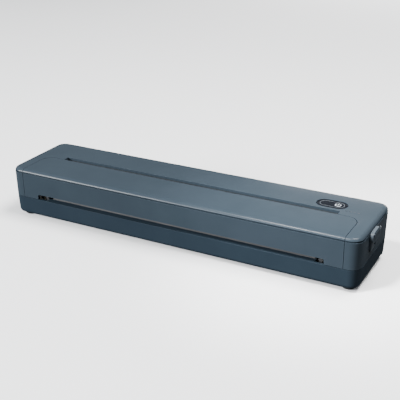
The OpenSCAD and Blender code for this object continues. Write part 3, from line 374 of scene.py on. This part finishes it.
# The near-black crevice colours below are painted shade for the joints, grooves and corners
FINISHES = {
    # The worn colours below are rubbed edges, and also a painted edge highlight
    "case_plastic": dict(color=(0.0240, 0.0335, 0.0430), shade=(0.0210, 0.0298, 0.0385),
                         rough=(0.38, 0.46), specular=0.0, coat=0.22, coat_rough=0.27, bump=0.22,
                         worn_and_lit_color=(0.060, 0.084, 0.108), wear_and_highlight=0.5, painted_shade_color=(0.003, 0.005, 0.008)),
    "base_plastic": dict(color=(0.0150, 0.0230, 0.0315), shade=(0.0128, 0.0200, 0.0280),
                         rough=(0.40, 0.48), specular=0.0, coat=0.15, coat_rough=0.36, bump=0.22,
                         worn_and_lit_color=(0.045, 0.064, 0.082), wear_and_highlight=0.45, painted_shade_color=(0.003, 0.005, 0.008)),
    "grip_plastic": dict(color=(0.048, 0.060, 0.072), shade=(0.042, 0.053, 0.064),
                         rough=(0.38, 0.46), specular=0.0, coat=0.25, coat_rough=0.34, bump=0.2,
                         worn_and_lit_color=(0.14, 0.18, 0.22), wear_and_highlight=0.5, painted_shade_color=(0.010, 0.016, 0.022)),
    "black_plastic": dict(color=(0.012, 0.012, 0.014), shade=(0.017, 0.017, 0.019), rough=(0.42, 0.55),
                          bump=0.25, worn_and_lit_color=(0.05, 0.05, 0.055), wear_and_highlight=0.3),
    "chip_plastic": dict(color=(0.016, 0.016, 0.017), shade=(0.022, 0.022, 0.022), rough=(0.5, 0.62),
                         bump=0.2, worn_and_lit_color=(0.05, 0.05, 0.05), wear_and_highlight=0.2, wear_and_highlight_radius=0.0002),
    "button_plastic": dict(color=(0.003, 0.004, 0.006), shade=(0.005, 0.006, 0.009), rough=(0.12, 0.2),
                           specular=0.02, bump=0.03, worn_and_lit_color=(0.03, 0.035, 0.04), wear_and_highlight=0.3),
    "foot_rubber": dict(color=(0.010, 0.010, 0.011), shade=(0.018, 0.018, 0.019), rough=(0.7, 0.85),
                        specular=0.2, bump=0.35, grain=1200.0, worn_and_lit_color=(0.05, 0.05, 0.05), wear_and_highlight=0.4,
                        sheen=0.1),
    "platen_rubber": dict(color=(0.018, 0.018, 0.020), shade=(0.028, 0.028, 0.031), rough=(0.6, 0.75),
                          bump=0.3, grain=2600.0, worn_and_lit_color=(0.06, 0.06, 0.062), wear_and_highlight=0.3, sheen=0.15),
    "zinc_steel": dict(color=(0.46, 0.47, 0.49), shade=(0.36, 0.38, 0.42), rough=(0.25, 0.4),
                       metallic=1.0, bump=0.08, grain=900.0, worn_and_lit_color=(0.7, 0.7, 0.7), wear_and_highlight=0.4,
                       wear_and_highlight_radius=0.0002),
    "sheet_steel": dict(color=(0.50, 0.51, 0.53), shade=(0.40, 0.41, 0.43), rough=(0.3, 0.42),
                        metallic=1.0, bump=0.12, lines=True, worn_and_lit_color=(0.75, 0.75, 0.76), wear_and_highlight=0.35,
                        wear_and_highlight_radius=0.0003),
    "ground_steel": dict(color=(0.62, 0.62, 0.63), shade=(0.52, 0.52, 0.54), rough=(0.14, 0.26),
                         metallic=1.0, bump=0.06, lines=True, worn_and_lit_color=(0.8, 0.8, 0.8), wear_and_highlight=0.3,
                         wear_and_highlight_radius=0.0002),
    "spring_steel": dict(color=(0.40, 0.41, 0.43), shade=(0.32, 0.33, 0.35), rough=(0.24, 0.36),
                         metallic=1.0, bump=0.06, lines=True),
    "heat_sink_aluminium": dict(color=(0.66, 0.67, 0.69), shade=(0.56, 0.57, 0.59), rough=(0.28, 0.4),
                                metallic=1.0, bump=0.15, lines=True, worn_and_lit_color=(0.85, 0.85, 0.86),
                                wear_and_highlight=0.4, wear_and_highlight_radius=0.0003),
    "heating_ceramic": dict(color=(0.68, 0.63, 0.54), shade=(0.60, 0.55, 0.46), rough=(0.12, 0.24),
                            bump=0.04, coat=0.4, worn_and_lit_color=(0.3, 0.27, 0.22), wear_and_highlight=0.3,
                            wear_and_highlight_radius=0.0003),
    "heater_glaze": dict(color=(0.30, 0.22, 0.14), shade=(0.26, 0.19, 0.12), rough=(0.06, 0.12),
                         bump=0.02, coat=0.6),
    "heater_dots": dict(color=(0.05, 0.04, 0.035), shade=(0.09, 0.07, 0.06), rough=(0.12, 0.2),
                        grain=6000.0, bump=0.05),
    "gear_plastic": dict(color=(0.74, 0.73, 0.69), shade=(0.66, 0.65, 0.60), rough=(0.36, 0.48),
                         bump=0.08, worn_and_lit_color=(0.5, 0.49, 0.45), wear_and_highlight=0.4, wear_and_highlight_radius=0.0002),
    "bearing_plastic": dict(color=(0.66, 0.62, 0.50), shade=(0.58, 0.54, 0.43), rough=(0.36, 0.48),
                            bump=0.1, worn_and_lit_color=(0.4, 0.37, 0.3), wear_and_highlight=0.3, wear_and_highlight_radius=0.0002),
    "white_plastic": dict(color=(0.72, 0.70, 0.64), shade=(0.64, 0.62, 0.56), rough=(0.38, 0.5),
                          bump=0.1, worn_and_lit_color=(0.5, 0.48, 0.44), wear_and_highlight=0.3, wear_and_highlight_radius=0.0002),
    "pinion_brass": dict(color=(0.72, 0.50, 0.20), shade=(0.60, 0.40, 0.15), rough=(0.2, 0.32),
                         metallic=1.0, bump=0.1, lines=True, worn_and_lit_color=(0.9, 0.7, 0.35), wear_and_highlight=0.4,
                         wear_and_highlight_radius=0.0002),
    "circuit_board": dict(color=(0.012, 0.105, 0.050), shade=(0.008, 0.075, 0.036), rough=(0.22, 0.34),
                          bump=0.12, grain=500.0, coat=0.3, worn_and_lit_color=(0.45, 0.42, 0.25), wear_and_highlight=0.5,
                          wear_and_highlight_radius=0.0003),
    "cell_sleeve": dict(color=(0.020, 0.115, 0.290), shade=(0.015, 0.090, 0.240), rough=(0.2, 0.32),
                        bump=0.08, grain=300.0, coat=0.4, worn_and_lit_color=(0.1, 0.2, 0.4), wear_and_highlight=0.3),
    "lamp_window": dict(color=(0.004, 0.006, 0.010), shade=(0.006, 0.009, 0.014), rough=(0.22, 0.3),
                        specular=0.08, bump=0.02),
    "cable_film": dict(color=(0.70, 0.70, 0.66), shade=(0.62, 0.62, 0.58), rough=(0.25, 0.38),
                       bump=0.05, worn_and_lit_color=(0.5, 0.5, 0.48), wear_and_highlight=0.2, wear_and_highlight_radius=0.0002),
    "mark_ink": dict(color=(0.42, 0.45, 0.48), shade=(0.36, 0.39, 0.42), rough=(0.45, 0.55),
                     specular=0.2, bump=0.05),
    "ring_ink": dict(color=(0.085, 0.095, 0.105), shade=(0.07, 0.08, 0.09), rough=(0.40, 0.50),
                     specular=0.1, bump=0.05),
    "copper_line": dict(color=(0.60, 0.30, 0.16), shade=(0.50, 0.24, 0.12), rough=(0.25, 0.35),
                        metallic=1.0, bump=0.05),
}
MATERIALS = {name: finish_material(name, **values) for name, values in FINISHES.items()}


# Pieces and meshes

def finished_object(name, mesh, finish):
    piece = bpy.data.objects.new(name, mesh)
    bpy.context.collection.objects.link(piece)
    mesh.materials.clear()
    mesh.materials.append(MATERIALS[finish])
    return piece


def link_piece(name, mesh, finish, body, slot_name, *replaced):
    """A piece that rides on one body in place of the nodes it replaces, which are hidden; slot_name is
    not used.
    """
    piece = finished_object(name, mesh, finish)
    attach(piece, body)
    if replaced:
        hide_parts(*replaced)
    return piece


def soften_edges(bm, degrees):
    """Smooth shading, but for the edges that fold by more than so many degrees."""
    limit = math.radians(degrees)
    for face in bm.faces:
        face.smooth = True
    for edge in bm.edges:
        edge.smooth = len(edge.link_faces) == 2 and edge.calc_face_angle(math.pi) < limit


def mesh_from(bm, name, degrees=None):
    """The mesh of closed bodies with faces turned outwards, smooth below so many degrees of fold."""
    bmesh.ops.recalc_face_normals(bm, faces=bm.faces)
    if degrees:
        soften_edges(bm, degrees)
    mesh = bpy.data.meshes.new(name)
    bm.to_mesh(mesh)
    bm.free()
    return mesh


def band(bm, rows, closed=False):
    """A band through rows of four corners each, closed to a ring or capped at its ends."""
    rows = [[bm.verts.new(corner) for corner in row] for row in rows]
    following = rows[1:] + rows[:1] if closed else rows[1:]
    for a, b in zip(rows, following):
        for k in range(4):
            bm.faces.new((a[k], a[(k + 1) % 4], b[(k + 1) % 4], b[k]))
    if not closed:
        bm.faces.new(rows[0][::-1])
        bm.faces.new(rows[-1])


def flat_strip(bm, points, width, z, thick, closed=False):
    """A thin strip of the given width along points, which lie in a plane of constant z."""
    count = len(points)
    rows = []
    for i, p in enumerate(points):
        before = points[(i - 1) % count] if closed or i else p
        after = points[(i + 1) % count] if closed or i < count - 1 else p
        along = (after - before).normalized()
        side = Vector((-along.y, along.x)) * width / 2
        left, right = p + side, p - side
        rows.append([(q.x, q.y, h) for q, h in
                     ((left, z), (right, z), (right, z + thick), (left, z + thick))])
    band(bm, rows, closed)


# Skins of the solid nodes

# Points closer than this, in metres, become one
SAME_POINT = 2e-6
# Degrees of fold below which two faces count as one flat face
FLAT_FOLD = 0.4
# Degrees of fold past which an edge stays sharp and gets its bevel
SHARP_FOLD = 28
# Nodes that a finer piece of this file replaces
REPLACED = {"head_springs", "release_spring", "head_cable"}
# Width of the broken edges, in millimetres
BROKEN_EDGES = {
    "upper_housing": 0.12, "lower_shell": 0.12, "top_cover": 0.12, "power_button": 0.5,
    "release_slider": 0.25, "rubber_feet": 0.1, "heat_sink": 0.12, "paper_guide": 0.1,
    "battery_tray": 0.15, "drive_motor": 0.2, "side_plate_left": 0.1, "side_plate_right": 0.1,
    "platen_bearings": 0.15, "platen_rubber": 0.15, "print_head": 0.08, "usb_socket": 0.05,
    "battery_cells": 0.5, "cover_switch": 0.1, "power_switch": 0.1, "head_socket": 0.08,
    "board_socket": 0.08, "board_chips": 0.1, "platen_shaft": 0.15, "hinge_pins": 0.15,
    "keeper_pins": 0.1, "latch_shaft": 0.1, "paper_sensor": 0.1,
}
# The grip shares the case's slot, and is lighter than the case
OTHER_FINISH = {"release_slider": "grip_plastic"}


def dress(node):
    """A smooth-shaded copy of a CAD node, with its sharp edges broken by a small bevel."""
    mesh = bpy.data.meshes.new(node + "_skin")
    bm = bmesh.new()
    bm.from_mesh(nodes[node].data)
    bmesh.ops.remove_doubles(bm, verts=bm.verts, dist=SAME_POINT)
    bmesh.ops.dissolve_limit(bm, angle_limit=math.radians(FLAT_FOLD), verts=bm.verts, edges=bm.edges)
    soften_edges(bm, SHARP_FOLD)
    bm.to_mesh(mesh)
    bm.free()
    slot_name = slot_of_node[node]
    piece = link_piece(node + "_skin", mesh, OTHER_FINISH.get(node, slot_name), body_of_node[node],
                       slot_name, node)
    if node in BROKEN_EDGES:
        edge_break = piece.modifiers.new("edge_break", "BEVEL")
        edge_break.width = BROKEN_EDGES[node] * MM
        edge_break.segments = 2
        edge_break.limit_method = "ANGLE"
        edge_break.angle_limit = math.radians(SHARP_FOLD)
        edge_break.use_clamp_overlap = True
        edge_break.harden_normals = True


# Wire springs, made by one tree

# Turns of each kind, and the radius of its wire in millimetres
HEAD_SPRING_TURNS = 9.0
HEAD_SPRING_WIRE = 0.3
RELEASE_SPRING_TURNS = 12.0
RELEASE_SPRING_WIRE = 0.25


def spring_tree():
    tree = bpy.data.node_groups.new("wire_spring", "GeometryNodeTree")
    for label, value in (("Turns", 10.0), ("Radius", 0.002), ("Height", 0.01), ("Wire Radius", 0.0003)):
        socket = tree.interface.new_socket(label, in_out="INPUT", socket_type="NodeSocketFloat")
        socket.default_value = value
    tree.interface.new_socket("Finish", in_out="INPUT", socket_type="NodeSocketMaterial")
    tree.interface.new_socket("Geometry", in_out="OUTPUT", socket_type="NodeSocketGeometry")
    given = tree.nodes.new("NodeGroupInput")
    result = tree.nodes.new("NodeGroupOutput")
    spiral = tree.nodes.new("GeometryNodeCurveSpiral")
    spiral.inputs["Resolution"].default_value = 20
    ring = tree.nodes.new("GeometryNodeCurvePrimitiveCircle")
    ring.inputs["Resolution"].default_value = 10
    sweep = tree.nodes.new("GeometryNodeCurveToMesh")
    sweep.inputs["Fill Caps"].default_value = True
    smooth = tree.nodes.new("GeometryNodeSetShadeSmooth")
    whole = tree.nodes.new("GeometryNodeRealizeInstances")
    paint = tree.nodes.new("GeometryNodeSetMaterial")
    link = tree.links.new
    link(given.outputs["Turns"], spiral.inputs["Rotations"])
    link(given.outputs["Radius"], spiral.inputs["Start Radius"])
    link(given.outputs["Radius"], spiral.inputs["End Radius"])
    link(given.outputs["Height"], spiral.inputs["Height"])
    link(given.outputs["Wire Radius"], ring.inputs["Radius"])
    link(spiral.outputs["Curve"], sweep.inputs["Curve"])
    link(ring.outputs["Curve"], sweep.inputs["Profile Curve"])
    link(sweep.outputs["Mesh"], smooth.inputs["Geometry"])
    link(smooth.outputs["Geometry"], whole.inputs["Geometry"])
    link(whole.outputs["Geometry"], paint.inputs["Geometry"])
    link(given.outputs["Finish"], paint.inputs["Material"])
    link(paint.outputs["Geometry"], result.inputs["Geometry"])
    return tree


def grown_mesh(tree, values, name):
    """The mesh that a tree makes with these input values."""
    seed_mesh = bpy.data.meshes.new(name + "_seed")
    grower = bpy.data.objects.new(name + "_seed", seed_mesh)
    bpy.context.collection.objects.link(grower)
    modifier = grower.modifiers.new("grow", "NODES")
    modifier.node_group = tree
    keys = {i.name: i.identifier for i in tree.interface.items_tree if i.item_type == "SOCKET"}
    for label, value in values.items():
        modifier[keys[label]] = value
    graph = bpy.context.evaluated_depsgraph_get()
    mesh = bpy.data.meshes.new_from_object(grower.evaluated_get(graph), depsgraph=graph)
    mesh.name = name
    grower.modifiers.clear()
    bpy.data.objects.remove(grower)
    return mesh


def grown_coil(tree, name, turns, outer, height, wire):
    """A coil that fills a cylinder of radius outer, standing from one wire radius above its foot."""
    return grown_mesh(tree, {"Turns": turns, "Radius": outer - wire, "Height": height - 2 * wire,
                             "Wire Radius": wire, "Finish": MATERIALS["spring_steel"]}, name)


def joined(name, parts):
    """One mesh from several (mesh, matrix) pairs."""
    bm = bmesh.new()
    for mesh, place in parts:
        moved = mesh.copy()
        moved.transform(place)
        bm.from_mesh(moved)
        bpy.data.meshes.remove(moved)
    result = bpy.data.meshes.new(name)
    bm.to_mesh(result)
    bm.free()
    return result


def make_head_springs(tree):
    low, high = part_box("head_springs")
    wire = HEAD_SPRING_WIRE * MM
    outer = (high.y - low.y) / 2
    coil = grown_coil(tree, "head_coil", HEAD_SPRING_TURNS, outer, high.z - low.z, wire)
    middle_y = (low.y + high.y) / 2
    xs = (low.x + outer, (low.x + high.x) / 2, high.x - outer)
    places = [(coil, Matrix.Translation((x, middle_y, low.z + wire))) for x in xs]
    piece = link_piece("head_spring_coils", joined("head_spring_coils", places), "spring_steel",
                       "cover", "spring_steel", "head_springs")
    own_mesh(piece)


def make_release_spring(tree):
    low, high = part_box("release_spring")
    wire = RELEASE_SPRING_WIRE * MM
    outer = (high.z - low.z) / 2
    coil = grown_coil(tree, "release_coil", RELEASE_SPRING_TURNS, outer, high.y - low.y, wire)
    place = Matrix.Translation(((low.x + high.x) / 2, high.y - wire, (low.z + high.z) / 2))
    laid = place @ Matrix.Rotation(math.radians(90), 4, "X")
    piece = link_piece("release_spring_coil", joined("release_spring_coil", [(coil, laid)]),
                       "spring_steel", "base", "spring_steel", "release_spring")
    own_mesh(piece)


# Flat film cable of the print head: a level stretch on the head, and a loop round the hinge

# Corners of the loop's route in Y and Z, from the level stretch to the board's socket, in millimetres
CABLE_LOOP = [(-14.8, 26.5), (-14, 24.6), (-12, 23.3), (-8.6, 23.8), (-5.2, 25.2), (-2.2, 27.7),
              (-0.2, 30.6), (2, 32.2), (5, 33), (8.3, 33)]
# Points along each stretch between two corners
LOOP_SAMPLES = 8
# From straight stretches, 0, to a smooth curve through the corners, 1
LOOP_ROUNDING = 0.5
LEVEL_STEPS = 12
CABLE_W = 5
FILM_T = 0.3
CONDUCTORS = 9
# Half a conductor's width, as a share of the film's
CONDUCTOR_HALF = 0.025
CONDUCTOR_LIFT = 0.005
CONDUCTOR_T = 0.02
# Degrees of fold past which the cable's edges stay sharp
CABLE_FOLD = 50


def film_band(bm, stations, lift, thick):
    """A film through stations, each the two ends of one row, raised by lift millimetres."""
    low, top = (Vector((0, 0, height * MM)) for height in (lift, lift + thick))
    band(bm, [(a + low, b + low, b + top, a + top) for a, b in stations])


def loop_points():
    """Points on a rounded line through the loop's corners, as many in each stretch."""
    corners = [Vector(p) for p in CABLE_LOOP]
    corners = [corners[0] * 2 - corners[1]] + corners + [corners[-1] * 2 - corners[-2]]
    points = []
    for i in range(1, len(corners) - 2):
        p0, p1, p2, p3 = corners[i - 1:i + 3]
        for k in range(LOOP_SAMPLES):
            t = k / LOOP_SAMPLES
            smooth = 0.5 * (2 * p1 + (p2 - p0) * t + (2 * p0 - 5 * p1 + 4 * p2 - p3) * t * t
                            + (3 * p1 - p0 - 3 * p2 + p3) * t * t * t)
            points.append(p1.lerp(p2, t).lerp(smooth, LOOP_ROUNDING))
    points.append(corners[-2])
    return points


def cable_piece(name, bm, finish):
    piece = finished_object(name, mesh_from(bm, name, CABLE_FOLD), finish)
    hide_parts("head_cable")
    return piece


def film_and_conductors(name, stations):
    """The film through these stations, and the conductors that lie on it, as two pieces."""
    film = bmesh.new()
    film_band(film, stations, 0, FILM_T)
    copper = bmesh.new()
    for k in range(CONDUCTORS):
        share = (k + 1) / (CONDUCTORS + 1)
        lane = [(a.lerp(b, share - CONDUCTOR_HALF), a.lerp(b, share + CONDUCTOR_HALF))
                for a, b in stations]
        film_band(copper, lane, FILM_T + CONDUCTOR_LIFT, CONDUCTOR_T)
    return (cable_piece(name + "_film", film, "cable_film"),
            cable_piece(name + "_conductors", copper, "copper_line"))


def make_cable():
    """The level stretch between head and cover, and the loop between the cover and the base, as fixed
    pieces.
    """
    low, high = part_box("head_cable")
    x0, x1 = high.x - CABLE_W * MM, high.x
    y0 = low.y
    y1, z = (value * MM for value in CABLE_LOOP[0])
    across = [low.x + (high.x - low.x) * k / LEVEL_STEPS for k in range(LEVEL_STEPS + 1)]
    level = [(Vector((x, y1, z)), Vector((x, y0, z))) for x in across]
    for piece in film_and_conductors("head_cable_level", level):
        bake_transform(piece)
    loop = [(Vector((x0, p.x * MM, p.y * MM)), Vector((x1, p.x * MM, p.y * MM))) for p in loop_points()]
    for piece in film_and_conductors("head_cable_loop", loop):
        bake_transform(piece)


# Printed marks, in millimetres

# Height of the print over the button's face, and its thickness
PRINT_LIFT = 0.005
PRINT_T = 0.03
BUTTON_MIDDLE = (104, 13.5)
BUTTON_L = 22
BUTTON_W = 12.6
RING_INSET = 2.3
RING_LINE = 0.3
# The power mark is an open ring, its gap in degrees, with a stem in the gap
MARK_OFFSET = 4.2
MARK_LINE = 0.5
MARK_R = 1.9
MARK_GAP = 76
MARK_STEPS = 28
MARK_STEM = (0.3, 2.5)

# Corners of the arrowhead by the grip, in Y and Z
ARROW = ((8.6, 33.2), (11.4, 31.2), (8.6, 29.2))
ARROW_LINE = 0.7
# How far each stroke runs past its corners
ARROW_OVERLAP = 0.2
# Back and front of the print, as heights over the wall
ARROW_LIFTS = (0.01, 0.06)
# The right wall leans in from the groove down to the parting line
WALL_X = 140
WALL_LEAN = 0.4
GROOVE_Z = 36.8
PARTING_Z = 17.3


def pill_points(length, width, steps=16):
    """Points round a flat oval with straight sides, about its middle."""
    half = (length - width) / 2
    points = []
    for side, start in ((1, -90), (-1, 90)):
        for k in range(steps + 1):
            a = math.radians(start + 180 * k / steps)
            points.append(Vector((side * half + width / 2 * math.cos(a), width / 2 * math.sin(a))))
    return points


def make_button_marks():
    """The ring on the button's face, and the power mark at the right inside it."""
    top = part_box("power_button")[1].z + PRINT_LIFT * MM
    centre = at(*BUTTON_MIDDLE, 0).xy
    ring = [centre + p * MM for p in pill_points(BUTTON_L - 2 * RING_INSET, BUTTON_W - 2 * RING_INSET)]
    bm = bmesh.new()
    flat_strip(bm, ring, RING_LINE * MM, top, PRINT_T * MM, closed=True)
    link_piece("button_ring", mesh_from(bm, "button_ring"), "ring_ink", "button", "button_plastic")
    mark = centre + Vector((MARK_OFFSET * MM, 0))
    sweep = 360 - MARK_GAP
    angles = [math.radians(MARK_GAP / 2 + sweep * k / MARK_STEPS) for k in range(MARK_STEPS + 1)]
    arc = [mark + Vector((math.sin(a), math.cos(a))) * MARK_R * MM for a in angles]
    stem = [mark + Vector((0, y * MM)) for y in MARK_STEM]
    bm = bmesh.new()
    flat_strip(bm, arc, MARK_LINE * MM, top, PRINT_T * MM)
    flat_strip(bm, stem, MARK_LINE * MM, top, PRINT_T * MM)
    link_piece("button_marks", mesh_from(bm, "button_marks"), "mark_ink", "button", "button_plastic")


def wall_x(z):
    """X of the right wall's outer face at height z."""
    return WALL_X - WALL_LEAN * (GROOVE_Z - z) / (GROOVE_Z - PARTING_Z)


def make_side_arrow():
    """A small arrowhead by the slider that shows which way it opens."""
    bm = bmesh.new()
    for p, q in zip(ARROW, ARROW[1:]):
        p, q = Vector(p), Vector(q)
        along = (q - p).normalized()
        side = Vector((-along.y, along.x)) * ARROW_LINE / 2
        start, end = p - along * ARROW_OVERLAP, q + along * ARROW_OVERLAP
        stroke = [start + side, start - side, end - side, end + side]
        band(bm, [[at(wall_x(v.y) + lift, v.x, v.y) for v in stroke] for lift in ARROW_LIFTS])
    link_piece("side_arrow", mesh_from(bm, "side_arrow"), "mark_ink", "base", "case_plastic")


# Heater line of the print head, in millimetres

PLATEN_Y = -20.5
HEATER_INSET = 1.5
GLAZE_W = 1.1
GLAZE_T = 0.02
DOTS_W = 0.18
DOTS_T = 0.01


def make_heater_line():
    """The glazed line of heating dots under the print head, where the paper passes the platen."""
    low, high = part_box("print_head")
    ends = [Vector((x, PLATEN_Y * MM)) for x in (low.x + HEATER_INSET * MM, high.x - HEATER_INSET * MM)]
    foot = low.z
    for name, width, thick in (("heater_glaze", GLAZE_W, GLAZE_T), ("heater_dots", DOTS_W, DOTS_T)):
        foot -= thick * MM
        bm = bmesh.new()
        flat_strip(bm, ends, width * MM, foot, thick * MM)
        link_piece(name, mesh_from(bm, name), name, "head", "heating_ceramic")


place_camera()
set_studio()
for node in sorted(nodes):
    if node not in REPLACED:
        dress(node)
coil_tree = spring_tree()
make_head_springs(coil_tree)
make_release_spring(coil_tree)
make_cable()
make_button_marks()
make_side_arrow()
make_heater_line()
